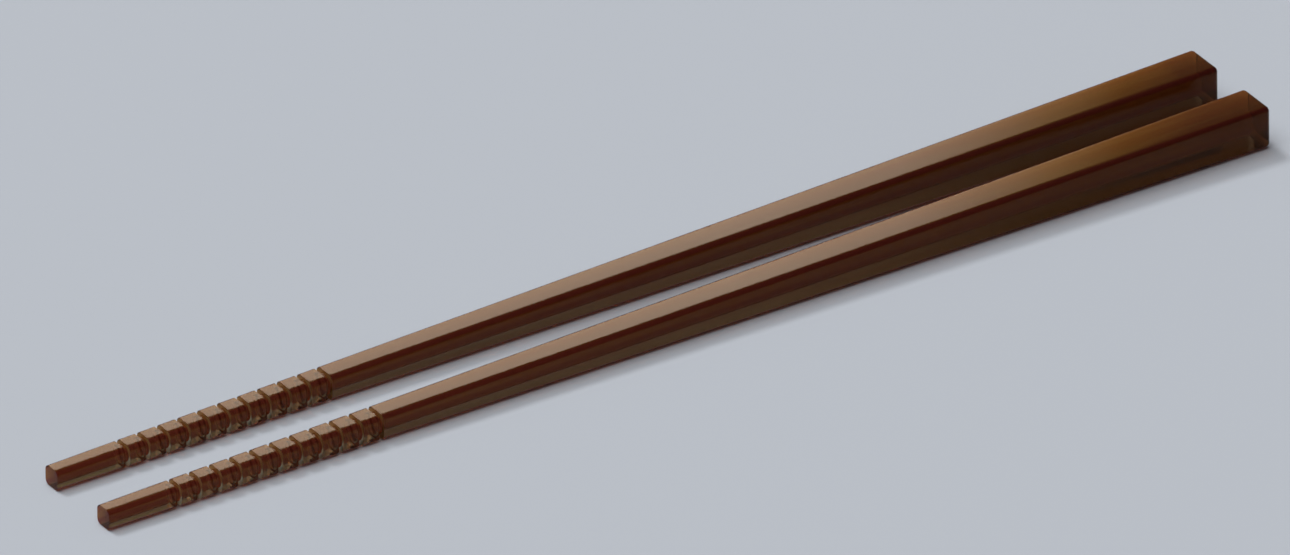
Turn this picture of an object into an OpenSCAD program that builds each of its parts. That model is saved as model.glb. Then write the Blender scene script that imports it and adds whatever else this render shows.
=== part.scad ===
// Pair of square chopsticks in clear brown resin, lying side by side on a table.
// Each stick is one moulded piece: a straight taper with rounded edges and a rounded butt,
// a plain flat tip, and a row of ring grooves near the tip that keep food from slipping.
// Millimetres, +Z up. The tips point to -X, and the origin is on the table, midway between the sticks.

/* [Stick] */
// Length of a stick, from its tip face to the end of its butt
stick_length = 230; // [180:1:280]
// Side of the square section at the butt
butt_side = 7.9; // [6:0.1:11]
// Side of the square section at the tip
tip_side = 3.7; // [3.2:0.05:5.5]
// Radius of the rounded edges along the stick and round its butt
edge_radius = 1; // [0.4:0.05:1.3]

/* [Ring grooves] */
// Number of grooves on a stick
groove_count = 11; // [3:1:16]
// Distance from the tip face to the middle of the first groove
groove_start = 13.9; // [6:0.1:30]
// Distance between the middles of two neighbouring grooves
groove_pitch = 4; // [2:0.1:6]
// Width of a groove along the stick
groove_width = 0.9; // [0.5:0.05:1.5]
// Depth of a groove below the flat sides
groove_depth = 0.4; // [0.2:0.05:0.7]

/* [Pair] */
// Distance between the middle lines of the two sticks
pair_spacing = 15.5; // [12:0.1:30]

/* [Hidden] */
// Colour of the clear brown resin
resin_brown = [0.29, 0.16, 0.09];
// Flat steps in a full turn of a rounded edge
edge_steps = 32;
// Flat steps in a full turn of a groove
groove_steps = 64;
// Thickness of the discs that start the taper at the tip face
tip_disc = 0.01;
// Angle between a flat side and the stick's middle line
taper_angle = atan((butt_side - tip_side) / 2 / stick_length);

// Side of the square section at a distance from the tip face
function side_at(distance) = tip_side + (butt_side - tip_side) * distance / stick_length;

// Its child at the four corners of a square section, on the middle lines of the rounded edges
module at_corners(side) {
    reach = side / 2 - edge_radius;
    for (y = [-reach, reach], z = [-reach, reach])
        translate([0, y, z]) children();
}

// Ball of the edge radius, with facet corners on its poles and equator so that the flat sides keep their size
module edge_ball() {
    rotate_extrude($fn = edge_steps)
        intersection() {
            circle(r = edge_radius, $fn = edge_steps);
            translate([0, -edge_radius]) square([edge_radius, 2 * edge_radius]);
        }
}

// The tapered bar along +X, cut flat at the tip and rounded at the butt by the same radius as its edges
module tapered_bar() {
    ball_distance = stick_length - edge_radius;
    hull() {
        at_corners(tip_side)
            rotate([0, 90, 0]) cylinder(r = edge_radius, h = tip_disc, $fn = edge_steps);
        translate([ball_distance, 0, 0])
            at_corners(side_at(ball_distance)) edge_ball();
    }
}

// Ring that cuts one groove: flat walls across the stick and a round floor below the flat sides,
// so that the groove is shallow in the middle of a side and deep at the corners
module groove_ring(distance) {
    side = side_at(distance);
    floor_radius = side / 2 - groove_depth;
    translate([distance, 0, 0])
        rotate([0, 90, 0])
            rotate_extrude($fn = groove_steps)
                translate([floor_radius, -groove_width / 2])
                    square([side / 2, groove_width]);
}

// One stick along +X, with the middle of its tip face at the origin
module chopstick() {
    difference() {
        tapered_bar();
        for (i = [0 : groove_count - 1])
            groove_ring(groove_start + i * groove_pitch);
    }
}

// A stick turned by its taper so that its lower side lies flat on the table
module on_table() {
    translate([-stick_length / 2, 0, tip_side / 2 * cos(taper_angle)])
        rotate([0, -taper_angle, 0])
            children();
}

module front_chopstick() {
    color(resin_brown)
        translate([0, -pair_spacing / 2, 0]) on_table() chopstick();
}

module back_chopstick() {
    color(resin_brown)
        translate([0, pair_spacing / 2, 0]) on_table() chopstick();
}

front_chopstick();
back_chopstick();
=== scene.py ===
"""Pair of square chopsticks in clear brown resin, lying on a pale floor.

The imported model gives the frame: +X from the tips to the butts, +Y from the front stick to the
back one, +Z up, in metres. Each stick is one closed surface that replaces its CAD node.
"""

import logging
import math
from collections.abc import Sequence
from dataclasses import dataclass
from enum import Enum
from typing import Any, Union

import bmesh
import bpy
import numpy as np
from mathutils import Matrix, Vector


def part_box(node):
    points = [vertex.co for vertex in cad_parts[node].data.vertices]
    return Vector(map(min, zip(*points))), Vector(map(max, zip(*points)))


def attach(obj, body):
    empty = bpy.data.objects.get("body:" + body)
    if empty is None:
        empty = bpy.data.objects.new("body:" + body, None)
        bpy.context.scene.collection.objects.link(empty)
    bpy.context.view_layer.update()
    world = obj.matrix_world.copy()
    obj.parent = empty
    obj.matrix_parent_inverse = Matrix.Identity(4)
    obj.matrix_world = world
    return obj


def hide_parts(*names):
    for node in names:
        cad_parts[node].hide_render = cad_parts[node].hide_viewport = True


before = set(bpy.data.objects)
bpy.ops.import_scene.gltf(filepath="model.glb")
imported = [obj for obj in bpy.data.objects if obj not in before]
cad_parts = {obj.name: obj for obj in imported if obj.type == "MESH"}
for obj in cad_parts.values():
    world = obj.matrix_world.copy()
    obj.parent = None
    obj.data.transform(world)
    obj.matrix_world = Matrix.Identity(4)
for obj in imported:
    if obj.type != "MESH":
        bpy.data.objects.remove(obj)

LOG = logging.getLogger("chopsticks")
ROOT_BODY = "root"
RESIN_SLOT = "clear_brown_resin"
CUT_MASK = "cut"
# Mask of the rounded edges, where a dark red painted shade goes.
PAINTED_EDGE_SHADE_MASK = "edge"

Colour = tuple[float, float, float]
Place = tuple[float, float, float]
Limits = tuple[float, float]
Glow = tuple[tuple[float, Colour], ...]
Operand = Union["Value", float]
Feed = Union["Value", bpy.types.NodeSocket, float, Sequence[float]]

BLACK: Colour = (0.0, 0.0, 0.0)
WHITE: Colour = (1.0, 1.0, 1.0)


class StickPlace(Enum):
    """The two sticks of the pair, by the name of the CAD node that each stands for."""

    FRONT = "front_chopstick"
    BACK = "back_chopstick"

    @property
    def piece_name(self) -> str:
        """The name of the dressed piece."""
        return f"{self.value}_resin"

    @property
    def middle_y(self) -> float:
        """The place of the stick's middle line across the pair, from its CAD node."""
        low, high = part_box(self.value)
        return (low.y + high.y) / 2


class Graph:
    """A node tree that grows by one method, with values that can be used in Python sums."""

    def __init__(self, tree: bpy.types.NodeTree) -> None:
        """Starts an empty tree.

        Args:
            tree: The tree of a material, a world or a lamp.
        """
        self.tree = tree
        tree.nodes.clear()

    def add(self, kind: str, settings: dict[str, Any] | None = None, **sockets: Feed) -> bpy.types.Node:
        """Adds one node.

        Args:
            kind: The node's type, without the common beginning ShaderNode.
            settings: Properties that are set before the sockets. A ramp's stops go under "stops".
            **sockets: What feeds each input, with _ for a space in its name, or input0 for a number.

        Returns:
            The new node.
        """
        node = self.tree.nodes.new(f"ShaderNode{kind}")
        for name, setting in (settings or {}).items():
            if name == "stops":
                self._set_stops(node, setting)
            else:
                setattr(node, name, setting)
        for name, value in sockets.items():
            self.feed(self._input(node, name), value)
        return node

    def feed(self, socket: bpy.types.NodeSocket, value: Feed) -> None:
        """Links a socket, or sets its constant.

        Args:
            socket: The input socket.
            value: A Value, an output socket, a number, or three or four numbers.
        """
        if isinstance(value, Value):
            value = value.socket
        if isinstance(value, bpy.types.NodeSocket):
            self.tree.links.new(value, socket)
        elif socket.type == "RGBA" and len(value) == 3:
            socket.default_value = (*value, 1.0)
        else:
            socket.default_value = value

    def value(self, node: bpy.types.Node, output: str | int = 0) -> "Value":
        """One output of a node, ready for sums."""
        return Value(self, node.outputs[output])

    def mix(self, share: Feed, first: Feed, second: Feed) -> bpy.types.NodeSocket:
        """A colour that goes from first to second as share goes from 0 to 1.

        Args:
            share: The share of the second colour.
            first: The colour at 0.
            second: The colour at 1.

        Returns:
            The mixed colour's socket.
        """
        node = self.add("Mix", {"data_type": "RGBA"})
        enabled = [socket for socket in node.inputs if socket.enabled]
        for socket, given in zip(enabled, (share, first, second), strict=True):
            self.feed(socket, given)
        return next(socket for socket in node.outputs if socket.enabled)

    @staticmethod
    def _input(node: bpy.types.Node, name: str) -> bpy.types.NodeSocket:
        """One input of a node.

        Args:
            node: The node.
            name: The input's name with _ for a space, or the word input and its number.

        Returns:
            The input's socket.
        """
        number = name.removeprefix("input")
        key = int(number) if number.isdigit() else name.replace("_", " ")
        return node.inputs[key]

    @staticmethod
    def _set_stops(node: bpy.types.Node, stops: Glow) -> None:
        """Sets the stops of a ramp.

        Args:
            node: The ramp's node.
            stops: Each stop's place and colour, in order.
        """
        elements = node.color_ramp.elements
        while len(elements) < len(stops):
            elements.new(1.0)
        for element, (place, colour) in zip(elements, stops, strict=True):
            element.position = place
            element.color = (*colour, 1.0)


class Value:
    """A shader value. A sum with it adds a Math node to its graph."""

    def __init__(self, graph: Graph, socket: bpy.types.NodeSocket) -> None:
        """Wraps a socket of a graph."""
        self.graph = graph
        self.socket = socket

    def _math(self, operation: str, first: Operand, second: Operand) -> "Value":
        """The Math node of an operation on two values or numbers."""
        node = self.graph.add("Math", {"operation": operation}, input0=first, input1=second)
        return self.graph.value(node)

    def __add__(self, other: Operand) -> "Value":
        """self + other."""
        return self._math("ADD", self, other)

    def __radd__(self, other: Operand) -> "Value":
        """other + self."""
        return self._math("ADD", other, self)

    def __sub__(self, other: Operand) -> "Value":
        """self - other."""
        return self._math("SUBTRACT", self, other)

    def __rsub__(self, other: Operand) -> "Value":
        """other - self."""
        return self._math("SUBTRACT", other, self)

    def __mul__(self, other: Operand) -> "Value":
        """self * other."""
        return self._math("MULTIPLY", self, other)

    def __rmul__(self, other: Operand) -> "Value":
        """other * self."""
        return self._math("MULTIPLY", other, self)

    def smooth(self, low: float, high: float) -> "Value":
        """A smooth step.

        Args:
            low: Where the step starts.
            high: Where it ends.

        Returns:
            0 below low, 1 above high and a smooth change between them.
        """
        smoothstep = {"interpolation_type": "SMOOTHSTEP"}
        node = self.graph.add("MapRange", smoothstep, Value=self, From_Min=low, From_Max=high)
        return self.graph.value(node)


@dataclass(frozen=True)
class Grain:
    """Noise that is drawn out along the stick.

    Attributes:
        along: Waves per metre along the stick.
        across: Waves per metre across it.
        layers: The number of finer layers.
    """

    along: float
    across: float
    layers: float

    def at(self, graph: Graph, place: bpy.types.NodeSocket) -> Value:
        """Adds the noise to a graph.

        Args:
            graph: The material's graph.
            place: The Object coordinates.

        Returns:
            The noise, from 0 to 1.
        """
        stretch = (self.along, self.across, self.across)
        stretched = graph.add("VectorMath", {"operation": "MULTIPLY"}, input0=place, input1=stretch)
        noise = graph.add("TexNoise", Vector=stretched.outputs[0], Scale=1.0, Detail=self.layers)
        return graph.value(noise)


@dataclass(frozen=True)
class ClearResin:
    """Polished see-through resin of amber brown, with flow lines, polishing marks and frosted grooves.

    The body goes from amber to umber along the flow lines, and a dark red painted shade darkens its rounded
    edges. The walls of the grooves are frosted, without the clear coat. Light fades with depth in the
    resin.
    """

    name: str = RESIN_SLOT
    amber: Colour = (0.38, 0.145, 0.035)
    umber: Colour = (0.35, 0.105, 0.025)
    flow: Grain = Grain(along=25.0, across=900.0, layers=3.0)
    flow_limits: Limits = (0.35, 0.7)
    # Painted shade: a dark red that stands in for the shade on the rounded edges, not a colour of the
    # resin.
    painted_edge_shade: Colour = (0.25, 0.033, 0.028)
    painted_edge_shade_limits: Limits = (0.35, 0.85)
    frost: Colour = (0.66, 0.43, 0.18)
    frost_roughness: float = 0.40
    base_roughness: float = 0.03
    haze: Grain = Grain(along=60.0, across=160.0, layers=2.0)
    haze_roughness: float = 0.02
    marks: Grain = Grain(along=90.0, across=9000.0, layers=1.0)
    mark_limits: Limits = (0.6, 0.75)
    mark_roughness: float = 0.03
    ripple_strength: float = 0.02
    ripple_height: float = 0.00002
    clearness: float = 0.90
    bend_of_light: float = 1.14
    gloss_tint: Colour = (1.0, 0.6, 0.3)
    coat: float = 1.0
    coat_bend: float = 1.15
    coat_roughness: float = 0.03
    depth_colour: Colour = (0.475, 0.35, 0.275)
    depth_density: float = 400.0

    def material(self) -> bpy.types.Material:
        """Makes the material.

        Returns:
            The resin, which reads Object coordinates, the mask of cut walls and the mask of rounded edges
            that get painted shade.
        """
        made = bpy.data.materials.new(self.name)
        made.use_nodes = True
        graph = Graph(made.node_tree)
        place = graph.add("TexCoord").outputs["Object"]
        flow = self.flow.at(graph, place)
        haze = self.haze.at(graph, place)
        marks = self.marks.at(graph, place)
        cut = self._mask(graph, CUT_MASK)
        # edge is the mask of the rounded edges, which get painted shade.
        edge = self._mask(graph, PAINTED_EDGE_SHADE_MASK)
        clear = graph.mix(flow.smooth(*self.flow_limits), self.amber, self.umber)
        # The rounded edges get a painted shade of dark red over the body colour.
        body = graph.mix(edge.smooth(*self.painted_edge_shade_limits), clear, self.painted_edge_shade)
        polished = self.base_roughness + haze * self.haze_roughness
        scratched = polished + marks.smooth(*self.mark_limits) * self.mark_roughness
        ripple = graph.add("Bump", Strength=self.ripple_strength, Distance=self.ripple_height, Height=marks)
        shader = graph.add(
            "BsdfPrincipled",
            Base_Color=graph.mix(cut, body, self.frost),
            Roughness=scratched + cut * self.frost_roughness,
            IOR=self.bend_of_light,
            Transmission_Weight=self.clearness,
            Specular_Tint=self.gloss_tint,
            Coat_Weight=self.coat * (1 - cut),
            Coat_IOR=self.coat_bend,
            Coat_Roughness=self.coat_roughness,
            Normal=ripple.outputs["Normal"],
        )
        depth = graph.add("VolumeAbsorption", Color=self.depth_colour, Density=self.depth_density)
        graph.add("OutputMaterial", Surface=shader.outputs[0], Volume=depth.outputs[0])
        return made

    @staticmethod
    def _mask(graph: Graph, name: str) -> Value:
        """A mask that is stored on the mesh, from 0 to 1."""
        return graph.value(graph.add("Attribute", {"attribute_name": name}), "Fac")


@dataclass(frozen=True)
class PaleFloor:
    """Plain pale floor with a faint cool tone."""

    name: str = "pale_floor"
    colour: Colour = (0.50, 0.53, 0.58)

    def material(self) -> bpy.types.Material:
        """Makes the floor's material.

        Returns:
            A matt material of one colour.
        """
        made = bpy.data.materials.new(self.name)
        made.use_nodes = True
        graph = Graph(made.node_tree)
        shader = graph.add("BsdfDiffuse", Color=self.colour)
        graph.add("OutputMaterial", Surface=shader.outputs[0])
        return made


@dataclass(frozen=True)
class StickSize:
    """The sizes of one stick, in metres, from the tip face to the end of the butt."""

    length: float = 0.230
    butt_side: float = 0.0079
    tip_side: float = 0.0037
    edge_radius: float = 0.001
    groove_count: int = 11
    groove_start: float = 0.0139
    groove_pitch: float = 0.004
    groove_width: float = 0.0009
    groove_depth: float = 0.0004
    edge_break: float = 0.00004

    @property
    def taper(self) -> float:
        """The angle between a flat side and the middle line, in radians."""
        return math.atan((self.butt_side - self.tip_side) / 2 / self.length)

    @property
    def shoulder(self) -> float:
        """The distance from the tip face at which the butt's rounding starts."""
        return self.length - self.edge_radius

    def side_at(self, distance: np.ndarray) -> np.ndarray:
        """The side of the square section at distances from the tip face."""
        return self.tip_side + (self.butt_side - self.tip_side) * distance / self.length


@dataclass(frozen=True)
class Chopstick:
    """One stick: a rounded square profile carried along the middle line from the tip to the butt.

    Attributes:
        place: Which stick of the pair it is.
        size: Its sizes.
        arc_steps: Faces round one rounded edge.
        flat_steps: Even steps across one flat side, before the first and the last are split.
        near_edge: The share of a flat side at which its first step is split, to keep the side flat.
        break_steps: Faces across a broken edge.
        butt_steps: Faces across the butt's rounding.
        shank_steps: Sections between the grooves and the butt.
        merge_distance: Points closer than this become one.
        sharp_angle: Edges that turn by more than this stay sharp.
    """

    place: StickPlace
    size: StickSize = StickSize()
    arc_steps: int = 14
    flat_steps: int = 12
    near_edge: float = 0.02
    break_steps: int = 3
    butt_steps: int = 14
    shank_steps: int = 24
    merge_distance: float = 1e-7
    sharp_angle: float = math.radians(50)

    def build(self) -> bpy.types.Object:
        """Makes the stick's closed mesh where its CAD node lies.

        Returns:
            The piece, which rides on the root body in place of its node.
        """
        along, ring = self._rings()
        rows, columns = ring.shape
        mesh = bpy.data.meshes.new(self.place.piece_name)
        mesh.from_pydata(self._on_floor(along, ring), [], self._faces(rows, columns))
        self._store_mask(mesh, CUT_MASK, "FACE", np.repeat(self._walls(along), columns))
        # The mask of the rounded edges, which get painted shade.
        self._store_mask(mesh, PAINTED_EDGE_SHADE_MASK, "POINT", np.tile(self._roundness(), rows))
        self._finish_mesh(mesh)
        piece = bpy.data.objects.new(self.place.piece_name, mesh)
        bpy.context.scene.collection.objects.link(piece)
        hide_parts(self.place.value)
        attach(piece, ROOT_BODY)
        return piece

    def dress(self, piece: bpy.types.Object, resin: bpy.types.Material) -> None:
        """Gives the piece its finish."""
        piece.data.materials.append(resin)

    def _profile(self) -> tuple[np.ndarray, np.ndarray]:
        """The points round a section, as complex numbers y + iz.

        A point of a section is core * anchor + radius * normal. Anchors run round the square with
        corners at 1+i and so on, and stand still at a corner while the normal turns through it.

        Returns:
            The anchors and the normals.
        """
        turn = np.exp(1j * self._quarter_turn(self.arc_steps))
        even = np.linspace(0, 1, self.flat_steps + 1)[1:-1]
        flat = np.concatenate(([self.near_edge], even, [1 - self.near_edge]))
        anchor = np.concatenate((np.full(turn.shape, 1 + 1j), 1 - 2 * flat + 1j))
        normal = np.concatenate((turn, np.full(flat.shape, 1j)))
        quarter = 1j ** np.arange(4)[:, None]
        return (quarter * anchor).ravel(), (quarter * normal).ravel()

    def _roundness(self) -> np.ndarray:
        """1 in the middle of each rounded edge of the profile, falling to 0 on the flat sides."""
        _, normal = self._profile()
        # This mask places the painted shade on the rounded edges.
        return 2 * np.abs(normal.real * normal.imag)

    @staticmethod
    def _quarter_turn(steps: int) -> np.ndarray:
        """The angles from 0 to a quarter turn, in even steps."""
        return np.linspace(0, math.pi / 2, steps + 1)

    def _stations(self) -> np.ndarray:
        """The sections along the stick: the tip, the grooves, the plain shank and the butt.

        Returns:
            Three rows with a column for each section: its distance from the tip face, how far its
            outline lies inside the plain taper's, and the radius of the round floor that it lies on,
            or 0 where it isn't on the floor of a groove.
        """
        grooves = self._grooves()
        shank = np.zeros((3, self.shank_steps))
        shank[0] = np.linspace(grooves[0, -1], self.size.shoulder, self.shank_steps + 2)[1:-1]
        return np.concatenate((self._tip(), grooves, shank, self._butt()), axis=1)

    def _tip(self) -> np.ndarray:
        """The sections of the tip: a rim of its face, a quarter round of the edge break, a plain one.

        Returns:
            Rows as in _stations.
        """
        edge = self.size.edge_break
        turn = self._quarter_turn(self.break_steps)
        along = np.concatenate(([0], edge * (1 - np.cos(turn)), [2 * edge]))
        inset = np.concatenate(([2 * edge], edge * (1 - np.sin(turn)), [0]))
        return np.stack((along, inset, np.zeros(along.size)))

    def _grooves(self) -> np.ndarray:
        """The sections of all grooves.

        A groove is its near wall and the same mirrored. A wall is a plain section, a quarter round of
        the edge break, a rim of the flat wall, and the circle at its foot, whose radius is half the
        side at the groove's middle less the groove's depth.

        Returns:
            Rows as in _stations.
        """
        size, edge = self.size, self.size.edge_break
        half = size.groove_width / 2
        turn = self._quarter_turn(self.break_steps)
        wall_along = np.concatenate(([-2 * edge], edge * (np.sin(turn) - 1), [0, 0])) - half
        wall_inset = np.concatenate(([0], edge * (1 - np.cos(turn)), [2 * edge, 0]))
        wall_foot = np.append(np.zeros(wall_inset.size - 1), 1)
        near_wall = np.stack((wall_along, wall_inset, wall_foot))
        far_wall = near_wall[:, ::-1] * np.array([[-1], [1], [1]])
        across, inset, foot = np.concatenate((near_wall, far_wall), axis=1)
        middles = size.groove_start + size.groove_pitch * np.arange(size.groove_count)[:, None]
        floors = foot * (size.side_at(middles) / 2 - size.groove_depth)
        return np.stack(((middles + across).ravel(), np.tile(inset, size.groove_count), floors.ravel()))

    def _butt(self) -> np.ndarray:
        """The sections of the butt: a quarter round of the edge radius.

        Returns:
            Rows as in _stations.
        """
        radius = self.size.edge_radius
        turn = self._quarter_turn(self.butt_steps)
        along = self.size.shoulder + radius * np.sin(turn)
        inset = radius * (1 - np.cos(turn))
        return np.stack((along, inset, np.zeros(along.size)))

    def _rings(self) -> tuple[np.ndarray, np.ndarray]:
        """Carries the profile along the stations.

        A plain section is core * anchor + radius * normal, where core is half the side less the edge
        radius, and radius is the edge radius less the inset. On a groove's floor the same points are
        drawn in along their rays to a circle.

        Returns:
            The stations' distances, and an array of y + iz with a row for each station.
        """
        anchor, normal = self._profile()
        along, inset, floor = self._stations()[:, :, None]
        core = self.size.side_at(np.minimum(along, self.size.shoulder)) / 2 - self.size.edge_radius
        ring = core * anchor + (self.size.edge_radius - inset) * normal
        ring = np.where(floor > 0, floor * ring / np.abs(ring), ring)
        return along.ravel(), ring

    @staticmethod
    def _walls(along: np.ndarray) -> np.ndarray:
        """Whether each band of faces is a groove's wall: flat across the stick, but not the tip face."""
        return (along[:-1] == along[1:]) & (along[1:] > 0)

    def _on_floor(self, along: np.ndarray, ring: np.ndarray) -> np.ndarray:
        """Lays the stick on its flat lower side and adds the middles of its two ends.

        The stick is turned about Y by its taper, so that its lower side becomes level.

        Args:
            along: The stations' distances from the tip.
            ring: Their sections, as y + iz about the middle line.

        Returns:
            The points: those of each ring in turn, then the middle of the tip and of the butt.
        """
        x = np.concatenate((np.repeat(along, ring.shape[1]), along[[0, -1]]))
        y = np.concatenate((ring.real.ravel(), [0, 0]))
        z = np.concatenate((ring.imag.ravel(), [0, 0]))
        lean = self.size.taper
        return np.column_stack(
            (
                x * math.cos(lean) - z * math.sin(lean) - self.size.length / 2,
                y + self.place.middle_y,
                x * math.sin(lean) + (z + self.size.tip_side / 2) * math.cos(lean),
            )
        )

    @staticmethod
    def _faces(rows: int, columns: int) -> list[list[int]]:
        """Quads between neighbouring rings, and a fan of triangles on each end.

        Args:
            rows: The number of rings.
            columns: The number of points in a ring.

        Returns:
            The corners of each face, in outward order.
        """
        index = np.arange(rows * columns).reshape(rows, columns)
        beside = np.roll(index, -1, axis=1)
        quads = np.stack((index[:-1], beside[:-1], beside[1:], index[1:]), axis=-1).reshape(-1, 4)
        tip, butt = rows * columns, rows * columns + 1
        tip_fan = np.stack((np.full(columns, tip), beside[0], index[0]), axis=-1)
        butt_fan = np.stack((np.full(columns, butt), index[-1], beside[-1]), axis=-1)
        return [*quads.tolist(), *tip_fan.tolist(), *butt_fan.tolist()]

    @staticmethod
    def _store_mask(mesh: bpy.types.Mesh, name: str, domain: str, values: np.ndarray) -> None:
        """Stores a mask on the mesh, with 0 for the ends, which come last.

        Args:
            mesh: The stick's mesh.
            name: The mask's name.
            domain: FACE or POINT.
            values: The mask on the bands between the rings, or on the rings' points.
        """
        mask = mesh.attributes.new(name, "FLOAT", domain)
        filled = np.zeros(len(mask.data), dtype=np.float32)
        filled[: values.size] = values
        mask.data.foreach_set("value", filled)

    def _finish_mesh(self, mesh: bpy.types.Mesh) -> None:
        """Merges the points that meet at the butt's corners, and smooths all but the sharp edges.

        Args:
            mesh: The stick's mesh.
        """
        work = bmesh.new()
        work.from_mesh(mesh)
        bmesh.ops.remove_doubles(work, verts=work.verts, dist=self.merge_distance)
        work.to_mesh(mesh)
        work.free()
        mesh.shade_smooth()
        mesh.set_sharp_from_angle(angle=self.sharp_angle)


@dataclass(frozen=True)
class SoftBox:
    """A soft studio lamp, hidden from the camera.

    Attributes:
        name: Its name.
        middle: The middle of its face.
        aim: The point that it faces.
        width: The width of its face.
        height: The height of its face.
        brightness: How bright its face is where its glow is white.
        glow: The colours of its face at places across its width, from 0 to 1.
        on_matt: Whether it lights matt surfaces.
        in_gloss: Whether it shows in glossy surfaces.
        through_resin: Whether it shows through the resin.
    """

    name: str
    middle: Place
    aim: Place
    width: float
    height: float
    brightness: float
    glow: Glow = ((0.0, WHITE), (1.0, WHITE))
    on_matt: bool = True
    in_gloss: bool = True
    through_resin: bool = True

    def hang(self) -> None:
        """Makes the lamp and places it."""
        lamp = bpy.data.lights.new(self.name, "AREA")
        lamp.shape = "RECTANGLE"
        lamp.size = self.width
        lamp.size_y = self.height
        lamp.energy = self.brightness * math.pi * self.width * self.height
        lamp.use_nodes = True
        graph = Graph(lamp.node_tree)
        across = graph.add("SeparateXYZ", Vector=graph.add("NewGeometry").outputs["Parametric"])
        shade = graph.add("ValToRGB", {"stops": self.glow}, Fac=across.outputs["X"])
        emission = graph.add("Emission", Color=shade.outputs["Color"])
        graph.add("OutputLight", Surface=emission.outputs[0])
        made = bpy.data.objects.new(self.name, lamp)
        made.visible_camera = False
        made.visible_diffuse = self.on_matt
        made.visible_glossy = self.in_gloss
        made.visible_transmission = self.through_resin
        made.location = self.middle
        made.rotation_mode = "QUATERNION"
        made.rotation_quaternion = (Vector(self.middle) - Vector(self.aim)).to_track_quat("Z", "Y")
        bpy.context.scene.collection.objects.link(made)


SOFT_BOXES = (
    # The sheen on the upper sides
    SoftBox(
        name="back_softbox",
        middle=(0.2433, 0.4525, 0.3135),
        aim=(-0.0325, 0.0216, 0.0),
        width=0.265,
        height=0.22,
        brightness=4.8,
        glow=(
            (0.01, BLACK),
            (0.06, (0.16, 0.09, 0.01)),
            (0.105, (0.43, 0.30, 0.13)),
            (0.20, (0.86, 0.72, 0.56)),
            (0.30, (1.0, 0.87, 0.69)),
        ),
        on_matt=False,
        through_resin=False,
    ),
    # The cool light that comes through the resin from behind
    SoftBox(
        name="back_panel",
        middle=(0.1928, 0.4847, 0.3135),
        aim=(-0.0830, 0.0538, 0.0),
        width=0.50,
        height=0.40,
        brightness=4.6,
        glow=(
            (0.08, (0.085, 0.12, 0.12)),
            (0.15, (0.06, 0.12, 0.10)),
            (0.21, (0.13, 0.32, 0.76)),
            (0.27, (0.137, 0.37, 1.0)),
            (0.36, (0.10, 0.27, 0.78)),
            (0.46, (0.135, 0.38, 0.89)),
        ),
        on_matt=False,
        in_gloss=False,
    ),
    # The even light from above
    SoftBox(
        name="top_softbox",
        middle=(-3.6, 2.4, 16.8),
        aim=(0.0, 0.0, 0.0),
        width=16.8,
        height=16.8,
        brightness=2.7,
    ),
    # The light that gives the soft shadows
    SoftBox(
        name="key_softbox",
        middle=(-1.8, 10.2, 15.0),
        aim=(0.0, 0.0, 0.0),
        width=3.6,
        height=3.6,
        brightness=28.0,
    ),
)


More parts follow.
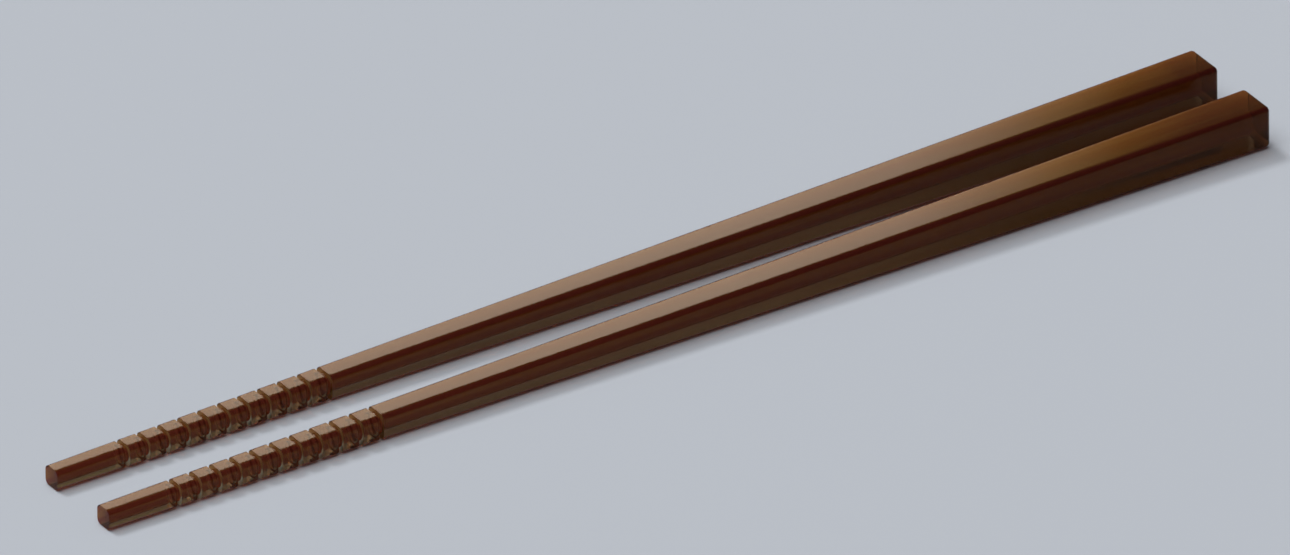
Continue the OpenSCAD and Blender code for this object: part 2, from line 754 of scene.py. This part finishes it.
@dataclass(frozen=True)
class Studio:
    """The pale floor, the soft lamps and the camera at the photo's angle.

    Attributes:
        boxes: The lamps.
        floor_drop: How far the floor lies below the sticks.
        floor_width: The side of the square floor.
        surround: The grey of the surround above the horizon.
        horizon_step: Half the height of the soft step at the horizon, as a sine.
        azimuth: The camera's direction round the sticks, from -Y.
        elevation: The camera's direction above the floor.
        distance: The camera's distance from the aim point.
        aim: The point of the floor in the middle of the picture.
        view_width: The width of the picture.
    """

    boxes: tuple[SoftBox, ...] = SOFT_BOXES
    floor_drop: float = 0.0001
    floor_width: float = 30.0
    surround: float = 0.10
    horizon_step: float = 0.001
    azimuth: float = math.radians(-33.6108)
    elevation: float = math.radians(30.4456)
    distance: float = 1.5
    aim: Place = (0.0049665, 0.0104686, 0.0)
    view_width: float = 0.2139

    def set_up(self, floor_finish: PaleFloor) -> None:
        """Makes the floor, the lamps, the surround and the camera.

        Args:
            floor_finish: The finish of the floor.
        """
        self._lay_floor(floor_finish)
        for box in self.boxes:
            box.hang()
        self._light_surround(floor_finish)
        self._place_camera()
        bpy.context.scene.view_settings.view_transform = "Standard"

    def _lay_floor(self, finish: PaleFloor) -> None:
        """Lays a square floor just under the sticks.

        Args:
            finish: The finish of the floor.
        """
        corners = np.array([(-1, -1), (1, -1), (1, 1), (-1, 1)]) * self.floor_width / 2
        points = np.column_stack((corners, np.full(len(corners), -self.floor_drop)))
        mesh = bpy.data.meshes.new("floor")
        mesh.from_pydata(points, [], [[0, 1, 2, 3]])
        mesh.materials.append(finish.material())
        floor = bpy.data.objects.new("floor", mesh)
        bpy.context.scene.collection.objects.link(floor)

    def _light_surround(self, finish: PaleFloor) -> None:
        """Gives an even grey light from above the horizon, and the floor's colour below it.

        Args:
            finish: The finish of the floor.
        """
        world = bpy.data.worlds.new("surround")
        bpy.context.scene.world = world
        world.use_nodes = True
        graph = Graph(world.node_tree)
        way = graph.add("SeparateXYZ", Vector=graph.add("TexCoord").outputs["Generated"])
        above = graph.value(way, "Z").smooth(-self.horizon_step, self.horizon_step)
        colour = graph.mix(above, finish.colour, (self.surround, self.surround, self.surround))
        background = graph.add("Background", Color=colour)
        graph.add("OutputWorld", Surface=background.outputs[0])

    def _place_camera(self) -> None:
        """Sets a camera with parallel view lines that looks from azimuth and elevation at the aim point."""
        lens = bpy.data.cameras.new("camera")
        lens.type = "ORTHO"
        lens.ortho_scale = self.view_width
        camera = bpy.data.objects.new("camera", lens)
        back = Vector(
            (
                math.sin(self.azimuth) * math.cos(self.elevation),
                -math.cos(self.azimuth) * math.cos(self.elevation),
                math.sin(self.elevation),
            )
        )
        turned = back.to_track_quat("Z", "Y").to_matrix().to_4x4()
        camera.matrix_world = Matrix.Translation(Vector(self.aim) + back * self.distance) @ turned
        bpy.context.scene.collection.objects.link(camera)
        bpy.context.scene.camera = camera


def main() -> None:
    """Builds both sticks, dresses them and sets up the studio."""
    logging.basicConfig(level=logging.INFO, format="%(name)s: %(message)s")
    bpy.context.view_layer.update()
    resin = ClearResin().material()
    for place in StickPlace:
        stick = Chopstick(place)
        piece = stick.build()
        stick.dress(piece, resin)
        LOG.info("%s has %d faces", piece.name, len(piece.data.polygons))
    Studio().set_up(PaleFloor())


if __name__ == "__main__":
    main()
